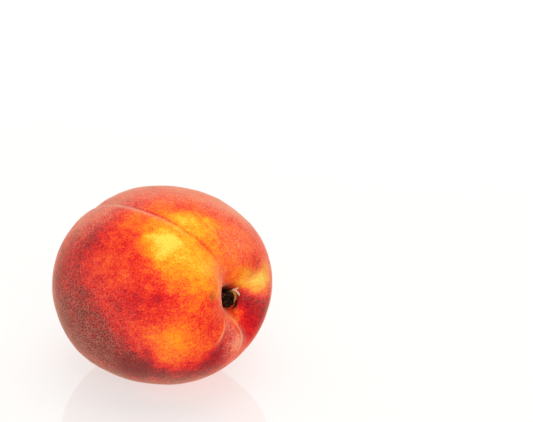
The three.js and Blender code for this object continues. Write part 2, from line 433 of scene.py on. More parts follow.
class PeachSkinSettings(bpy.types.PropertyGroup):
    """Sizes and colours of the fruit's skin"""

    rows: IntProperty(name="Rows", description="Facets along each side of the skin", default=128, min=16)
    crease_depth: length("Crease depth", "Depth of the fine line along the suture", 0.4)
    crease_width: length("Crease width", "Width of the fine line along the suture", 0.95)
    overlap: length("Overlap", "How far one cheek stands over the other past the middle", 0.8)
    fold_height: length("Fold height", "Height of the thin folds in the cavity's lip", 0.4)
    pinch_depth: length("Pinch depth", "Depth of the pinch in the fuller side of the cavity's lip", 1.6)
    lump_height: length("Lump height", "Height of the broad, soft lumps", 0.3)
    wrinkle_depth: length("Wrinkle depth", "Depth of the wrinkles that run into the stem cavity", 0.22)
    fuzz: portion("Fuzz", "Strength of the velvety sheen", 0.8)
    # Strength of the painted highlights on the cavity's lip
    lip_highlight_strength: portion("Pale lines", "Strength of the pale lines on the cavity's lip", 0.6)
    pale_yellow: colour("Pale yellow", "Skin that the sun hasn't reached", 253, 214, 78)
    gold: colour("Gold", "Ground colour of the ripe skin", 253, 172, 30)
    orange: colour("Orange", "Skin at the edge of the blush", 252, 122, 22)
    scarlet: colour("Scarlet", "Thin blush", 246, 72, 34)
    red: colour("Red", "Full blush", 228, 24, 26)
    crimson: colour("Crimson", "Dark blush", 188, 10, 28)
    maroon: colour("Maroon", "Darkest blush", 122, 12, 24)
    # Pale fuzz, whose colour also carries painted sheen where the fuzz catches light
    fuzz_and_sheen_colour: colour("Fuzz colour", "Pale fuzz lying thick over the skin", 240, 182, 150)
    sheen_tint: colour("Sheen tint", "Colour of the velvety sheen", 255, 200, 168)
    scuff: colour("Scuff", "Scuffed skin above the stem cavity", 186, 50, 42)
    bruise: colour("Bruise", "Small bruise beside the cavity's lip", 124, 88, 34)
    # Painted highlight along the folds and the edge of the cavity's lip
    lip_highlight: colour("Pale line", "Thin skin along the folds of the lip", 255, 178, 112)
    # Painted shade in the throat round the foot of the stalk
    throat_shade: colour("Throat", "Dark skin round the foot of the stalk", 60, 22, 8)


class PeachStalkSettings(bpy.types.PropertyGroup):
    """Sizes and colours of the stalk's stump and its torn bits"""

    fissure_depth: length("Fissure depth", "Depth of the cracks along the stump", 0.5)
    bark: colour("Bark", "Dry bark of the stump", 9, 5, 4)
    # Painted highlights of the bark's broken edges, in paler flecks
    bark_highlight: colour("Bark edge", "Broken edges of the bark", 122, 68, 30)
    wood: colour("Torn wood", "Freshly torn wood", 222, 146, 36)
    wood_line: colour("Wood grain", "Dark lines in the torn wood", 122, 66, 14)
    fibre: colour("Fibre", "Dry pale fibre", 240, 206, 176)
    fibre_line: colour("Fibre grain", "Dark lines in the fibre", 206, 140, 108)


class PeachStageSettings(bpy.types.PropertyGroup):
    """Floor, light and camera"""

    floor_radius: length("Floor radius", "Radius of the table", 3000)
    floor: colour("Floor", "Glossy white table", 150, 149, 148)
    floor_glow: colour("Floor glow", "Light that comes up through the table", 255, 253, 250)
    view_height: FloatProperty(
        name="View height",
        description="Angle of the camera above the level",
        default=math.radians(27),
        subtype="ANGLE",
        unit="ROTATION",
    )
    view_distance: length("View distance", "Distance from the camera to the fruit", 650)
    view_right: length("View right", "How far right of the fruit the camera is aimed", 35.85)
    view_up: length("View up", "How far above the fruit the camera is aimed", 23.55)
    lens: FloatProperty(name="Lens", description="Focal length in millimetres", default=130.4, min=20)
    glow: brightness("Glow", "Brightness of the light table", 0.64)
    softbox_power: power("Softbox power", "Power of the large lamp overhead", 4.0)
    fill_power: power("Fill power", "Power of the lamp beside the camera", 3.0)
    room: brightness("Room", "Brightness of the white room as it is seen", 1.05)
    sky: brightness("Surround", "Brightness of the white room on matt surfaces", 0.4)


# ---------------------------------------------------------------------------------------------
# Form of the fruit
# ---------------------------------------------------------------------------------------------


def bell(value, width):
    """1 where the value is 0, falling smoothly to 0 on both sides."""
    return np.exp(-((value / width) ** 2))


def step(value, width):
    """A smooth step from 0 to 1, halfway up where the value is 0."""
    return 1 / (1 + np.exp(-value / width))


def through(points, places):
    """A smooth curve through a short list of (place, value) points."""
    x, y = np.array(points, float).T
    slope = np.zeros_like(y)
    slope[1:-1] = (y[2:] - y[:-2]) / (x[2:] - x[:-2])
    i = np.clip(np.searchsorted(x, places) - 1, 0, len(x) - 2)
    span = x[i + 1] - x[i]
    t = (places - x[i]) / span
    start = (2 * t**3 - 3 * t**2 + 1) * y[i] + (t**3 - 2 * t**2 + t) * span * slope[i]
    end = (3 * t**2 - 2 * t**3) * y[i + 1] + (t**3 - t**2) * span * slope[i + 1]
    return start + end


def turned(angle):
    """An angle in degrees, brought to between -180 and 180."""
    return (angle + 180) % 360 - 180


class Directions:
    """Unit directions in the fruit's frame, with their angles and distance out from the stem axis."""

    def __init__(self, unit):
        self.unit = unit
        self.x, self.y, self.z = unit.T
        self.tilt = np.degrees(np.arccos(np.clip(self.z, -1, 1)))
        self.heading = np.degrees(np.arctan2(self.y, self.x))
        self.out = SHOULDER * np.hypot(self.x, self.y)
        self.stem_half = (self.z > 0).astype(float)


def suture_line(d):
    """How far a direction lies from the suture's line, as a share of the radius."""
    return d.y - SUTURE_BEND * step(d.tilt - SUTURE_BEND_TILT, SUTURE_BEND_SPREAD)


def suture_side(d):
    """1 on the half of the fruit that has the suture, 0 on the other."""
    return step(d.x - SUTURE_START, SUTURE_FADE)


def round_stem(d, radius):
    """1 near the stem axis at the stem end, falling to 0 past the radius."""
    return d.stem_half * np.exp(-((d.out / radius) ** 4))


def body_radius(d):
    """Distance from the centre to the skin, before the suture and the cavity are sunk into it."""
    oval = 1 - OVAL * (d.x**2 - d.y**2) + FULLER_CHEEK * d.y + SUTURE_SIDE * d.x
    return through(MERIDIAN, d.tilt) * oval + TIP_HEIGHT * bell(180 - d.tilt, TIP_WIDTH)


def suture_valley(d):
    """Depth of the suture's broad furrow."""
    return through(SUTURE_DEPTH, d.tilt) * suture_side(d) * bell(suture_line(d), SUTURE_WIDTH)


def stem_cavity(d):
    """Depth of the stem cavity, with the throat in its middle."""
    px, py = SHOULDER * d.x, SHOULDER * d.y
    reach_x = CAVITY_TO_BACK + (CAVITY_TO_SUTURE - CAVITY_TO_BACK) * step(px, CAVITY_BLEND)
    reach_y = CAVITY_TO_THINNER + (CAVITY_TO_FULLER - CAVITY_TO_THINNER) * step(py, CAVITY_BLEND)
    out = np.hypot(px / reach_x, py / reach_y)
    funnel = CAVITY_DEPTH * np.exp(-(out**CAVITY_STEEPNESS))
    return d.stem_half * funnel + THROAT_DEPTH * round_stem(d, THROAT_RADIUS)


def lip_folds(d):
    """Height of the broad folds in the cavity's lower lip."""
    total = np.zeros_like(d.x)
    for heading, out, spread, reach, height in LIP_FOLDS:
        total += height * bell(turned(d.heading - heading), spread) * bell(d.out - out, reach)
    return d.stem_half * total


def plain_distance(d):
    """Distance from the centre to the plain form, which the fruit in the frame has too."""
    return body_radius(d) - suture_valley(d) - stem_cavity(d) + lip_folds(d)


def rough(place, roughness=0.7, octaves=4):
    """Smooth noise at one place, roughly from -1 to 1."""
    return noise.fractal(Vector(place), roughness, FINER, octaves)


def fractal(points, roughness=0.7, octaves=4):
    """Smooth noise at each of many points."""
    return np.array([rough(point, roughness, octaves) for point in points])


def pointing(tilt, heading):
    """The unit direction at a tilt and a heading."""
    a, b = math.radians(tilt), math.radians(heading)
    return np.array((math.sin(a) * math.cos(b), math.sin(a) * math.sin(b), math.cos(a)))


def smooth_line(corners, places):
    """Places along a smooth line through its corners, which are numbered from 0."""
    keys = np.arange(len(corners))
    return np.stack([through(np.stack([keys, axis], 1), places) for axis in np.transpose(corners)], 1)


def drawn_line(d, route, width, samples=60, taper=3):
    """A soft line drawn on the skin, strongest halfway and fading out at both ends."""
    corners = [pointing(tilt, heading) for tilt, heading in route]
    along = np.linspace(0, 1, samples)
    drawn = np.zeros(len(d.unit))
    for share, place in zip(along, smooth_line(corners, along * (len(route) - 1))):
        distance = np.linalg.norm(d.unit - place, axis=1) * LIP_DISTANCE
        strength = min(1, taper * share, taper * (1 - share))
        drawn = np.maximum(drawn, strength * bell(distance, width))
    return drawn


def suture_relief(d, skin):
    """The fine line along the suture, and the step where one cheek stands over the other."""
    wander = CREASE_WANDER * fractal(d.unit * CREASE_WANDER_GRAIN + CREASE_SEED)
    off_line = (suture_line(d) + wander) * SHOULDER
    crease = through(CREASE_STRENGTH, d.tilt) * bell(off_line, skin.crease_width / MM)
    overlap = bell(d.tilt - OVERLAP_TILT, OVERLAP_SPREAD) * np.tanh(off_line / OVERLAP_EDGE)
    overlap *= np.exp(-abs(off_line) / OVERLAP_REACH)
    return suture_side(d) * (skin.overlap * overlap - skin.crease_depth * crease) / MM


def cavity_wall(d):
    """1 on the wall of the stem cavity, falling to 0 in its throat and out on the shoulders."""
    return d.stem_half * bell(d.out - WALL_OUT, WALL_REACH)


def cavity_relief(d, skin):
    """The wrinkles that run into the stem cavity, and the thin folds and the pinch in its lip."""
    turn = np.radians(d.heading)
    ring = np.stack([WRINKLE_RAYS * np.cos(turn), WRINKLE_RAYS * np.sin(turn), d.out / WRINKLE_LENGTH], 1)
    wrinkles = cavity_wall(d) * fractal(ring, roughness=0.6, octaves=3)
    folds = sum(drawn_line(d, route, RIDGE_WIDTH) for route in LIP_RIDGES)
    side = bell(turned(d.heading - PINCH_HEADING), PINCH_SPREAD)
    pinch = d.stem_half * side * bell(d.out - PINCH_OUT, PINCH_REACH)
    return (skin.wrinkle_depth * wrinkles + skin.fold_height * folds - skin.pinch_depth * pinch) / MM


def soft_lumps(d, skin):
    """The broad, soft lumps of the whole fruit, fainter on the wall of the cavity."""
    lumps = fractal(d.unit * LUMP_GRAIN, roughness=1.0, octaves=3)
    return skin.lump_height / MM * lumps * (1 - LUMP_LOSS * cavity_wall(d))


def skin_distance(d, skin):
    """Distance from the centre to the skin, with all its small shapes."""
    return plain_distance(d) + suture_relief(d, skin) + cavity_relief(d, skin) + soft_lumps(d, skin)


def ball_grid(rows):
    """Directions and four-sided facets of a ball made of six bent squares, crowded at the stem end."""
    steps = np.tan(np.linspace(-1, 1, rows + 1) * math.pi / 4)
    u, v = np.meshgrid(steps, steps, indexing="ij")
    one = np.ones_like(u)
    sides = ((u, v, one), (v, u, -one), (one, u, v), (-one, v, u), (v, one, u), (u, -one, v))
    corners = np.concatenate([np.stack(side, -1).reshape(-1, 3) for side in sides])
    corners /= np.linalg.norm(corners, axis=1, keepdims=True)
    _, first, merged = np.unique(np.round(corners, 6), axis=0, return_index=True, return_inverse=True)
    merged = merged.reshape(6, rows + 1, rows + 1)
    facets = np.stack([merged[:, :-1, :-1], merged[:, 1:, :-1], merged[:, 1:, 1:], merged[:, :-1, 1:]], -1)
    unit = corners[first]
    tilt = np.arccos(np.clip(unit[:, 2], -1, 1))
    heading = np.arctan2(unit[:, 1], unit[:, 0])
    tilt = tilt - STEM_END_CROWDING * np.sin(tilt) * (1 + unit[:, 2]) / 2
    unit = np.stack([np.sin(tilt) * np.cos(heading), np.sin(tilt) * np.sin(heading), np.cos(tilt)], 1)
    return unit, facets.reshape(-1, 4)


# ---------------------------------------------------------------------------------------------
# Place of the fruit
# ---------------------------------------------------------------------------------------------


def lying_turn():
    """The turn from the fruit's own frame to the way it lies."""
    heading, rise = math.radians(STEM_HEADING), math.radians(STEM_RISE)
    stem = Vector((math.cos(rise) * math.cos(heading), math.cos(rise) * math.sin(heading), math.sin(rise)))
    up = (Vector((0, 0, 1)) - stem * stem.z).normalized()
    suture = Matrix.Rotation(math.radians(SUTURE_LEAN), 3, stem) @ up
    return Matrix((suture, stem.cross(suture), stem)).transposed()


TURN = lying_turn()


def fruit_origin():
    """Where the fruit's own origin is, found by matching the plain form to the fruit's box."""
    unit, _ = ball_grid(FITTING_ROWS)
    plain = unit * plain_distance(Directions(unit))[:, None]
    lying = plain * MM @ np.array(TURN).T
    low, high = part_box("fruit")
    middle = (lying.min(0) + lying.max(0)) / 2
    place = (low + high) / 2
    return Vector((place.x - middle[0], place.y - middle[1], high.z - lying[:, 2].max()))


ORIGIN = fruit_origin()


def placed(points):
    """Points in the fruit's own frame, in millimetres, as places in the frame, in metres."""
    return np.asarray(points, float) * MM @ np.array(TURN).T + np.array(ORIGIN)


# ---------------------------------------------------------------------------------------------
# Ripeness painted on the skin, with fuzz, marks, painted sheen, painted highlights and painted shade
# ---------------------------------------------------------------------------------------------


def away_from(unit, tilt, heading):
    """Angle in degrees from each direction to the given one."""
    return np.degrees(np.arccos(np.clip(unit @ pointing(tilt, heading), -1, 1)))


def ragged(unit, size, grain):
    """The directions, each pushed a little aside, so that what is drawn on them has broken edges."""
    shifts = [fractal(unit * grain + RAGGED_SEED * axis, roughness=0.8) for axis in (1, 2, 3)]
    pushed = unit + size * np.stack(shifts, 1)
    return pushed / np.linalg.norm(pushed, axis=1, keepdims=True)


def spot(unit, tilt, heading, reach, sharpness):
    """1 in the middle of a round spot on the skin, falling to 0 past its reach."""
    return np.exp(-((away_from(unit, tilt, heading) / reach) ** sharpness))


def paint_patches(unit, ground, patches):
    """A ground value with soft patches laid over it, each over the ones before."""
    painting = np.full(len(unit), ground)
    for tilt, heading, reach, value, strength in patches:
        painting += (value - painting) * strength * spot(unit, tilt, heading, reach, sharpness=2.5)
    return painting


def paint_ripeness(d):
    """Ripeness of the skin, which sets its colour."""
    return paint_patches(ragged(d.unit, size=0.07, grain=5), GROUND_RIPENESS, RIPENESS_PATCHES)


def paint_fuzz_and_sheen(d):
    """Share of pale fuzz, partly painted sheen of lit fuzz, that hides the colour under it: in patches,
    and a painted highlight along the raised edge of the suture.
    """
    patches = paint_patches(ragged(d.unit, size=0.05, grain=6), 0.0, FUZZ_AND_SHEEN_PATCHES)
    edge = bell(suture_line(d) * SHOULDER - EDGE_HIGHLIGHT_OFFSET, EDGE_HIGHLIGHT_WIDTH)
    edge *= suture_side(d) * bell(d.tilt - EDGE_HIGHLIGHT_TILT, EDGE_HIGHLIGHT_SPREAD)
    return 1 - (1 - patches) * (1 - EDGE_HIGHLIGHT_STRENGTH * edge)


def paint_scuff(d):
    """Share of scuffed skin above the stem cavity."""
    return SCUFF_STRENGTH * spot(ragged(d.unit, size=0.05, grain=12), *SCUFF, sharpness=4)


def paint_bruise(d):
    """Share of bruised skin beside the cavity's lip."""
    return spot(ragged(d.unit, size=0.03, grain=20), *BRUISE, sharpness=2)


def paint_highlight_lines(d):
    """Painted highlights along the folds and the edge of the cavity's lip, where these ridges catch the
    light.
    """
    folds = sum(drawn_line(d, route, RIDGE_HIGHLIGHT_WIDTH) for route in LIP_RIDGES)
    return np.minimum(1, folds + LIP_HIGHLIGHT_STRENGTH * drawn_line(d, LIP_EDGE, LIP_HIGHLIGHT_WIDTH))


def paint_crease_colour_and_shade(d, skin):
    """Darker skin in the fine line along the suture: the line's own colour, and painted shade in the
    crease.
    """
    off_line = suture_line(d) * SHOULDER * MM
    along = step(d.tilt - CREASE_PAINT_START, CREASE_PAINT_START_FADE)
    along *= step(CREASE_PAINT_END - d.tilt, CREASE_PAINT_END_FADE)
    return suture_side(d) * bell(off_line, CREASE_PAINT_WIDTH * skin.crease_width) * along


def grain_places(d):
    """Places for noise that is drawn out from the stem end to the blossom end."""
    turn = np.radians(d.heading)
    ring = np.sqrt(np.clip(np.sin(np.radians(d.tilt)), 0, 1))
    return np.stack([ring * np.cos(turn), ring * np.sin(turn), d.tilt / 180], 1)


# ---------------------------------------------------------------------------------------------
# Meshes
# ---------------------------------------------------------------------------------------------


def make_piece(name, points, facets, material):
    """A smooth-shaded piece of one material, placed in the scene."""
    mesh = bpy.data.meshes.new(name)
    mesh.from_pydata(np.asarray(points).tolist(), [], [tuple(f) for f in facets])
    mesh.update()
    mesh.shade_smooth()
    mesh.materials.append(material)
    piece = bpy.data.objects.new(name, mesh)
    bpy.context.scene.collection.objects.link(piece)
    return piece


def set_mask(mesh, name, values):
    """Stores a number, or a place, for each corner of a mesh, for its material to read by name."""
    kind, key = ("FLOAT_VECTOR", "vector") if np.ndim(values) == 2 else ("FLOAT", "value")
    attribute = mesh.attributes.new(name, kind, "POINT")
    attribute.data.foreach_set(key, np.ascontiguousarray(values, np.float32).ravel())


def hand_over(piece, slot, *nodes):
    """Hangs a finished piece on the fruit's body in place of its CAD nodes."""
    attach(piece, BODY)
    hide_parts(*nodes)


# ---------------------------------------------------------------------------------------------
# Materials
# ---------------------------------------------------------------------------------------------


class Recipe:
    """A material, built up from short calls."""

    def __init__(self, name):
        self.material = bpy.data.materials.new(name)
        self.material.use_nodes = True
        self.tree = self.material.node_tree
        self.surface = self.tree.nodes["Principled BSDF"]

    def put(self, socket, value):
        """Gives a socket a value, or a link from another node."""
        if isinstance(value, bpy.types.NodeSocket):
            self.tree.links.new(value, socket)
        elif hasattr(value, "__len__") and len(value) == 3 and socket.type == "RGBA":
            socket.default_value = (*value, 1)
        else:
            socket.default_value = value

    def node(self, kind, inputs=(), **settings):
        """Adds a node with its inputs and settings."""
        made = self.tree.nodes.new(kind)
        for key, value in settings.items():
            setattr(made, key, value)
        for key, value in dict(inputs).items():
            self.put(made.inputs[key], value)
        return made

    def mask(self, name, output="Fac"):
        """A value stored on the mesh."""
        return self.node("ShaderNodeAttribute", attribute_name=name).outputs[output]

    def place(self):
        """The place on the piece, in metres."""
        return self.node("ShaderNodeTexCoord").outputs["Object"]

    def noise(self, where, scale, detail, roughness):
        """Soft noise, around one half."""
        inputs = {"Vector": where, "Scale": scale, "Detail": detail, "Roughness": roughness}
        return self.node("ShaderNodeTexNoise", inputs).outputs["Fac"]

    def cells(self, where, scale):
        """Distance from the middle of the nearest of many small cells."""
        inputs = {"Vector": where, "Scale": scale}
        return self.node("ShaderNodeTexVoronoi", inputs, feature="F1").outputs["Distance"]

    def add(self, first, second):
        """The sum of two values."""
        return self.node("ShaderNodeMath", {0: first, 1: second}, operation="ADD").outputs[0]

    def times(self, first, second):
        """The product of two values."""
        return self.node("ShaderNodeMath", {0: first, 1: second}, operation="MULTIPLY").outputs[0]

    def spread(self, value, low=0.0, high=1.0, to_low=0.0, to_high=1.0):
        """A value between low and high, stretched to other ends and held there past them."""
        inputs = {"Value": value, "From Min": low, "From Max": high, "To Min": to_low, "To Max": to_high}
        return self.node("ShaderNodeMapRange", inputs).outputs[0]

    def between(self, value, to_low, to_high):
        """A noise's value, stretched to run between two ends."""
        return self.spread(value, NOISE_LOW, NOISE_HIGH, to_low, to_high)

    def mix(self, share, first, second):
        """The first colour, with a share of it given over to the second."""
        inputs = {MIX_SHARE: share, MIX_FIRST: first, MIX_SECOND: second}
        return self.node("ShaderNodeMix", data_type="RGBA", inputs=inputs).outputs[MIX_RESULT]

    def ramp(self, value, stops):
        """The colour at a value, between the colours at its stops."""
        made = self.node("ShaderNodeValToRGB", {"Fac": value})
        band = made.color_ramp
        while len(band.elements) < len(stops):
            band.elements.new(0.5)
        for element, (place, shade) in zip(band.elements, stops):
            element.position = place
            element.color = (*shade, 1)
        return made.outputs["Color"]

    def bump(self, height, distance, strength=1.0):
        """Fine relief, with its distance in metres."""
        inputs = {"Height": height, "Distance": distance, "Strength": strength}
        return self.node("ShaderNodeBump", inputs).outputs["Normal"]

    def finish(self, **sockets):
        """Fills the sockets of the surface, and gives the finished material."""
        for key, value in sockets.items():
            self.put(self.surface.inputs[key.replace("_", " ")], value)
        return self.material


def ripe_colour(r, skin, where, cavity):
    """The colour of the skin by its ripeness, broken up by streaks, blotches, stipples and pores."""
    streaks = r.noise(r.mask("grain", "Vector"), scale=26, detail=4, roughness=0.6)
    streaks = r.times(r.between(streaks, -1, 1), r.spread(cavity, to_low=0.06, to_high=0.14))
    blotches = r.between(r.noise(where, scale=240, detail=5, roughness=0.65), -0.09, 0.09)
    stipple = r.between(r.noise(where, scale=2000, detail=2, roughness=0.55), -1, 1)
    stipple = r.times(stipple, r.spread(cavity, to_low=0.13, to_high=0.05))
    pores = r.spread(r.cells(where, scale=950), low=0.08, high=0.3, to_low=0.14, to_high=0.0)
    # Darker in the suture's crease, partly as painted shade
    crease = r.times(r.mask("crease"), CREASE_DARKENING)
    ripeness = r.mask("ripeness")
    for part in (streaks, blotches, stipple, pores, crease):
        ripeness = r.add(ripeness, part)
    stops = (
        (0.0, skin.pale_yellow),
        (0.2, skin.gold),
        (0.42, skin.orange),
        (0.58, skin.scarlet),
        (0.72, skin.red),
        (0.85, skin.crimson),
        (1.0, skin.maroon),
    )
    return r.ramp(ripeness, stops)


def fuzz_and_sheen_share(r, where):
    """Share of pale fuzz and painted sheen over the colour, in flecks that grow fainter where it is thick.
    """
    fuzz_and_sheen = r.mask("fuzz_and_sheen")
    flecks = r.noise(where, scale=1900, detail=2, roughness=0.6)
    flecks = r.spread(flecks, low=0.42, high=0.68, to_low=-0.8, to_high=1.2)
    flecks = r.times(flecks, r.spread(fuzz_and_sheen, low=0.22, high=0.46, to_low=1.0, to_high=0.35))
    return r.times(fuzz_and_sheen, r.add(flecks, 1.0))


def fuzzy_skin(skin):
    """Mottled skin under pale fuzz and painted sheen, with a scuff, a bruise, painted highlights on the
    cavity's lip and painted shade in its throat.
    """
    r = Recipe("fuzzy_skin")
    where = r.place()
    base = ripe_colour(r, skin, where, r.mask("cavity"))
    # Pale fuzz over the colour, partly painted sheen of lit fuzz
    base = r.mix(fuzz_and_sheen_share(r, where), base, skin.fuzz_and_sheen_colour)
    specks = r.spread(r.noise(where, scale=1500, detail=3, roughness=0.7), low=0.42, high=0.6)
    base = r.mix(r.times(r.mask("scuff"), specks), base, skin.scuff)
    base = r.mix(r.times(r.mask("bruise"), specks), base, skin.bruise)
    # Painted highlights along the folds and the edge of the cavity's lip
    base = r.mix(r.times(r.mask("painted_highlight_lines"), skin.lip_highlight_strength), base, skin.lip_highlight)
    # Painted shade in the throat round the foot of the stalk
    base = r.mix(r.mask("throat_shade"), base, skin.throat_shade)
    fine = r.noise(where, scale=2600, detail=3, roughness=0.7)
    coarse = r.noise(where, scale=700, detail=3, roughness=0.6)
    relief = r.add(fine, r.times(coarse, COARSE_RELIEF))
    return r.finish(
        Base_Color=base,
        Roughness=r.between(r.noise(where, scale=600, detail=3, roughness=0.6), 0.5, 0.68),
        Normal=r.bump(relief, distance=0.00012, strength=0.6),
        Specular_IOR_Level=0.08,
        Sheen_Weight=skin.fuzz,
        Sheen_Roughness=0.3,
        Sheen_Tint=skin.sheen_tint,
        Subsurface_Weight=0.1,
        Subsurface_Radius=(1.0, 0.35, 0.15),
        Subsurface_Scale=0.003,
    )


def dark_bark(stalk):
    """Dry, dark bark with paler flecks, painted highlights of its broken edges."""
    r = Recipe("dark_bark")
    where = r.place()
    # Paler flecks: painted highlights of the bark's broken edges
    flecks = r.spread(r.noise(where, scale=1300, detail=4, roughness=0.65), low=0.51, high=0.66)
    relief = r.noise(where, scale=1800, detail=4, roughness=0.7)
    return r.finish(
        Base_Color=r.mix(flecks, stalk.bark, stalk.bark_highlight),
        Roughness=r.between(relief, 0.7, 0.95),
        Normal=r.bump(relief, distance=0.0009),
        Specular_IOR_Level=0.12,
    )


def torn_wood(stalk):
    """Freshly torn, amber wood with dark lines along it."""
    r = Recipe("torn_wood")
    lines = r.noise(r.mask("grain", "Vector"), scale=9, detail=4, roughness=0.6)
    return r.finish(
        Base_Color=r.mix(r.spread(lines, low=0.35, high=0.65), stalk.wood, stalk.wood_line),
        Roughness=r.between(lines, 0.45, 0.75),
        Normal=r.bump(lines, distance=0.0002),
    )


def pale_fibre(stalk):
    """Thin, dry, pale fibre with darker lines along it."""
    r = Recipe("pale_fibre")
    lines = r.noise(r.mask("grain", "Vector"), scale=8, detail=3, roughness=0.6)
    return r.finish(
        Base_Color=r.mix(r.spread(lines, low=0.35, high=0.7), stalk.fibre, stalk.fibre_line),
        Roughness=r.between(lines, 0.6, 0.85),
        Normal=r.bump(lines, distance=0.00015),
    )


def white_table(stage):
    """A white light table: it glows a little, and mirrors what stands on it."""
    r = Recipe("white_table")
    return r.finish(
        Base_Color=stage.floor,
        Roughness=r.between(r.noise(r.place(), scale=3, detail=2, roughness=0.55), 0.03, 0.05),
        Emission_Color=stage.floor_glow,
        Emission_Strength=stage.glow,
    )


# ---------------------------------------------------------------------------------------------
# Stalk pieces
# ---------------------------------------------------------------------------------------------


def circle(sides):
    """Angles evenly spaced round a circle."""
    return np.linspace(0, 2 * math.pi, sides, endpoint=False)


def route_through(points, count, samples=200):
    """Evenly spaced places along a smooth line through a few points, with the direction at each."""
    line = smooth_line(points, np.linspace(0, len(points) - 1, samples))
    run = np.concatenate([[0], np.cumsum(np.linalg.norm(np.diff(line, axis=0), axis=1))])
    at = np.linspace(0, run[-1], count)
    places = np.stack([np.interp(at, run, axis) for axis in line.T], 1)
    tangent = np.gradient(places, axis=0)
    return places, tangent / np.linalg.norm(tangent, axis=1, keepdims=True)


def closed_rings(rings, start, end):
    """Points and facets of rings of corners joined in order and closed with a hub at each end."""
    count, sides = len(rings), len(rings[0])
    facets = []
    for ring in range(count - 1):
        for side in range(sides):
            a, b = ring * sides + side, ring * sides + (side + 1) % sides
            facets.append((a, b, b + sides, a + sides))
    last = (count - 1) * sides
    for side in range(sides):
        after = (side + 1) % sides
        facets.append((count * sides, after, side))
        facets.append((count * sides + 1, last + side, last + after))
    return np.concatenate([np.reshape(rings, (-1, 3)), [start, end]]), facets


def torn_strip(route, radii, flatten, unevenness, seed=0, rings=50, sides=24):
    """A flattened strip along a route, frayed along its edges, with the places of its grain."""
    places, tangents = route_through(route, rings)
    keys = np.linspace(0, 1, len(radii))
    made, grain = [], []
    for t, place, tangent in zip(np.linspace(0, 1, rings), places, tangents):
        across = np.cross((0, 0, 1), tangent)
        across /= np.linalg.norm(across)
        outward = np.cross(tangent, across)
        radius = through(np.stack([keys, radii], 1), t)
        corners = []
        for turn in circle(sides):
            x, y = math.cos(turn), math.sin(turn)
            fray = rough((FRAY_GRAIN * x, FRAY_GRAIN * y + seed, FRAY_STRETCH * t), roughness=0.8)
            out = radius * (1 + unevenness * fray)
            corners.append(place + across * out * x + outward * out * flatten * y)
            grain.append((x, y + seed, GRAIN_STRETCH * t))
        made.append(corners)
    points, facets = closed_rings(made, places[0], places[-1])
    return points, facets, np.array(grain + [(0, seed, 0), (0, seed, GRAIN_STRETCH)])


def stump_side(height, rise, stalk):
    """One ring of the stump's side, rise being the share of its whole height."""
    radius = through(STUMP, height)
    ring = []
    for turn in circle(STUMP_SIDES):
        x, y = math.cos(turn), math.sin(turn)
        crack = abs(rough((FISSURE_GRAIN * x, FISSURE_GRAIN * y, FISSURE_STRETCH * height), roughness=0.8))
        crack = min(1, FISSURE_START * rise) * (FISSURE_SHARPNESS * crack - FISSURE_LEVEL)
        broken = BREAK_ROUGHNESS * rough((BREAK_GRAIN * x, BREAK_GRAIN * y, BREAK_SEED), roughness=0.9)
        out = radius - stalk.fissure_depth / MM * crack
        ring.append((out * x, out * y, height + rise**3 * min(BREAK_CAP, broken) * BREAK_HEIGHT))
    return ring


def stump_hollow(rim, share, bottom):
    """One ring of the stump's hollowed top, at a share of the way out to its rim."""
    ring = []
    for x, y, z in rim:
        x, y = share * x, share * y
        chunk = HOLLOW_ROUGHNESS * rough((HOLLOW_GRAIN * x, HOLLOW_GRAIN * y, HOLLOW_SEED))
        ring.append((x, y, z * share + (bottom + chunk) * (1 - share)))
    return ring


def stump_form(stalk):
    """The dry stump: fissured sides and a broken, hollowed top."""
    foot, top = STUMP[0][0], STUMP[-1][0]
    rises = np.linspace(0, 1, STUMP_RINGS)
    sides = [stump_side(foot + (top - foot) * rise, rise, stalk) for rise in rises]
    hollow = [stump_hollow(sides[-1], share, top - HOLLOW_DEPTH) for share in HOLLOW_RINGS]
    return closed_rings(sides + hollow, (0, 0, foot), (0, 0, top - HOLLOW_MIDDLE))


# ---------------------------------------------------------------------------------------------
# Operators
# ---------------------------------------------------------------------------------------------


class PEACH_OT_fruit(bpy.types.Operator):
    """Build the fruit with its suture, stem cavity and fuzzy, mottled skin"""

    bl_idname = "peach.fruit"
    bl_label = "Fruit"

    def execute(self, context):
        skin = context.scene.peach_skin
        unit, facets = ball_grid(skin.rows)
        d = Directions(unit)
        points = placed(unit * skin_distance(d, skin)[:, None])
        points[:, 2] = np.maximum(points[:, 2], 0.0)
        piece = make_piece("peach_fruit", points, facets, fuzzy_skin(skin))
        for name, values in (
            ("ripeness", paint_ripeness(d)),
            # Pale fuzz, partly painted sheen
            ("fuzz_and_sheen", paint_fuzz_and_sheen(d)),
            ("scuff", paint_scuff(d)),
            ("bruise", paint_bruise(d)),
            # Painted shade in the throat round the stalk
            ("throat_shade", round_stem(d, THROAT_SHADE_RADIUS)),
            ("cavity", round_stem(d, CAVITY_PAINT_RADIUS)),
            # Painted highlights on the cavity's lip
            ("painted_highlight_lines", paint_highlight_lines(d)),
            # Darker crease, partly painted shade
            ("crease", paint_crease_colour_and_shade(d, skin)),
            ("grain", grain_places(d)),
        ):
            set_mask(piece.data, name, values)
        hand_over(piece, "fuzzy_skin", "fruit")
        return {"FINISHED"}


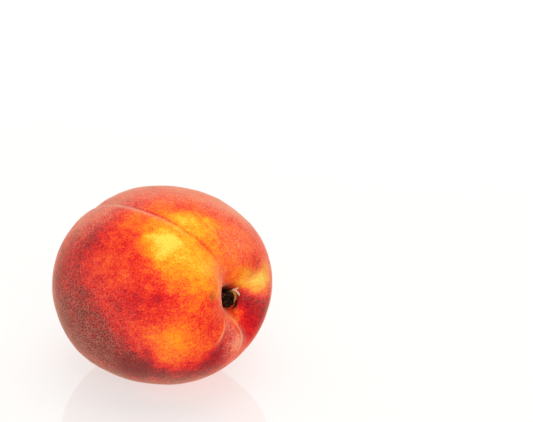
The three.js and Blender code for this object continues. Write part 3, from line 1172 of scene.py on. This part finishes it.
class PEACH_OT_stalk(bpy.types.Operator):
    """Build the stump of the stalk and the torn bits that hang on it"""

    bl_idname = "peach.stalk"
    bl_label = "Stalk"

    def execute(self, context):
        stalk = context.scene.peach_stalk
        bark, wood, fibre = dark_bark(stalk), torn_wood(stalk), pale_fibre(stalk)
        points, facets = stump_form(stalk)
        hand_over(make_piece("stalk_stump", placed(points), facets, bark), "dark_bark", "stem_stub")
        chip = torn_strip(CHIP, CHIP_RADII, flatten=0.5, unevenness=0.35)
        self.bit("torn_chip", [chip], wood, "amber_wood", "torn_wood_chip")
        arms = [
            torn_strip(FIBRE, FIBRE_RADII, flatten=0.6, unevenness=0.35, seed=1),
            torn_strip(BRANCH, BRANCH_RADII, flatten=0.6, unevenness=0.35, seed=2),
        ]
        self.bit("pale_shred", arms, fibre, "pale_fibre", "pale_fibre_shred")
        hook = torn_strip(HOOK, HOOK_RADII, flatten=0.8, unevenness=0.4, seed=3)
        self.bit("hooked_shred", [hook], bark, "dark_bark", "hooked_bark_shred")
        return {"FINISHED"}

    @staticmethod
    def bit(name, strips, material, slot, node):
        """One torn bit, made of one strip or more."""
        points, facets, grain, count = [], [], [], 0
        for strip_points, strip_facets, strip_grain in strips:
            points.append(strip_points)
            grain.append(strip_grain)
            facets += [tuple(i + count for i in facet) for facet in strip_facets]
            count += len(strip_points)
        piece = make_piece(name, placed(np.concatenate(points)), facets, material)
        set_mask(piece.data, "grain", np.concatenate(grain))
        hand_over(piece, slot, node)


class PEACH_OT_stage(bpy.types.Operator):
    """Set the glossy white table, the soft light and the camera"""

    bl_idname = "peach.stage"
    bl_label = "Stage"

    def execute(self, context):
        stage = context.scene.peach_stage
        self.floor(stage)
        self.light(context.scene, stage)
        self.camera(context.scene, stage)
        return {"FINISHED"}

    @staticmethod
    def floor(stage):
        """The round, level table that the fruit lies on."""
        turns = circle(TABLE_SIDES)
        rim = np.stack([np.cos(turns), np.sin(turns), 0 * turns], 1) * stage.floor_radius
        table = make_piece("white_table", rim, [range(TABLE_SIDES)], white_table(stage))

    @staticmethod
    def lamp(name, offset, size, watts):
        """A round, soft lamp, placed from the middle of the fruit and aimed at it."""
        middle = (Vector(CAD_BOX[0]) + Vector(CAD_BOX[1])) / 2
        lamp = bpy.data.lights.new(name, "AREA")
        lamp.shape = "DISK"
        lamp.size = size
        lamp.energy = watts
        made = bpy.data.objects.new(name, lamp)
        made.location = middle + Vector(offset)
        made.rotation_euler = (-Vector(offset)).to_track_quat("-Z", "Y").to_euler()
        bpy.context.scene.collection.objects.link(made)

    def light(self, scene, stage):
        """The two lamps, and the white room round them, which is dimmer on matt surfaces."""
        self.lamp("softbox", SOFTBOX_PLACE, SOFTBOX_SIZE, stage.softbox_power)
        self.lamp("fill", FILL_PLACE, FILL_SIZE, stage.fill_power)
        world = bpy.data.worlds.new("white_room")
        world.use_nodes = True
        background = world.node_tree.nodes["Background"]
        background.inputs["Color"].default_value = (1, 1, 1, 1)
        seen = world.node_tree.nodes.new("ShaderNodeLightPath")
        strength = world.node_tree.nodes.new("ShaderNodeMapRange")
        strength.inputs["To Min"].default_value = stage.room
        strength.inputs["To Max"].default_value = stage.sky
        world.node_tree.links.new(seen.outputs["Is Diffuse Ray"], strength.inputs["Value"])
        world.node_tree.links.new(strength.outputs[0], background.inputs["Strength"])
        scene.world = world
        scene.view_settings.view_transform = "Standard"

    @staticmethod
    def camera(scene, stage):
        """The camera, in front of the fruit and above it."""
        low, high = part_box("fruit")
        fruit = (low + high) / 2
        height = stage.view_height
        back = Vector((0, -math.cos(height), math.sin(height)))
        up = Vector((0, math.sin(height), math.cos(height)))
        lens = bpy.data.cameras.new("camera")
        lens.sensor_width = SENSOR_WIDTH
        lens.lens = stage.lens
        lens.clip_start = 0.01
        camera = bpy.data.objects.new("camera", lens)
        camera.location = fruit + back * stage.view_distance
        aim = fruit + Vector((stage.view_right, 0, 0)) + up * stage.view_up
        camera.rotation_euler = (aim - camera.location).to_track_quat("-Z", "Y").to_euler()
        scene.collection.objects.link(camera)
        scene.camera = camera


class PEACH_PT_sidebar(bpy.types.Panel):
    """Lists the steps that build the peach"""

    bl_label = "Peach"
    bl_space_type = "VIEW_3D"
    bl_region_type = "UI"
    bl_category = "Peach"

    def draw(self, context):
        for settings, step_class in STEPS:
            box = self.layout.box()
            group = getattr(context.scene, settings)
            for name in group.__annotations__:
                box.prop(group, name)
            box.operator(step_class.bl_idname)


STEPS = (
    ("peach_skin", PEACH_OT_fruit),
    ("peach_stalk", PEACH_OT_stalk),
    ("peach_stage", PEACH_OT_stage),
)
GROUPS = {
    "peach_skin": PeachSkinSettings,
    "peach_stalk": PeachStalkSettings,
    "peach_stage": PeachStageSettings,
}
CLASSES = (*GROUPS.values(), *(step_class for _, step_class in STEPS), PEACH_PT_sidebar)


def register():
    """Adds the settings, the operators and the sidebar."""
    for item in CLASSES:
        bpy.utils.register_class(item)
    for name, group in GROUPS.items():
        setattr(bpy.types.Scene, name, PointerProperty(type=group))


def unregister():
    """Takes away what register added."""
    for name in GROUPS:
        delattr(bpy.types.Scene, name)
    for item in reversed(CLASSES):
        bpy.utils.unregister_class(item)


def main():
    """Builds the whole scene."""
    register()
    bpy.ops.peach.fruit()
    bpy.ops.peach.stalk()
    bpy.ops.peach.stage()


if __name__ == "__main__":
    main()
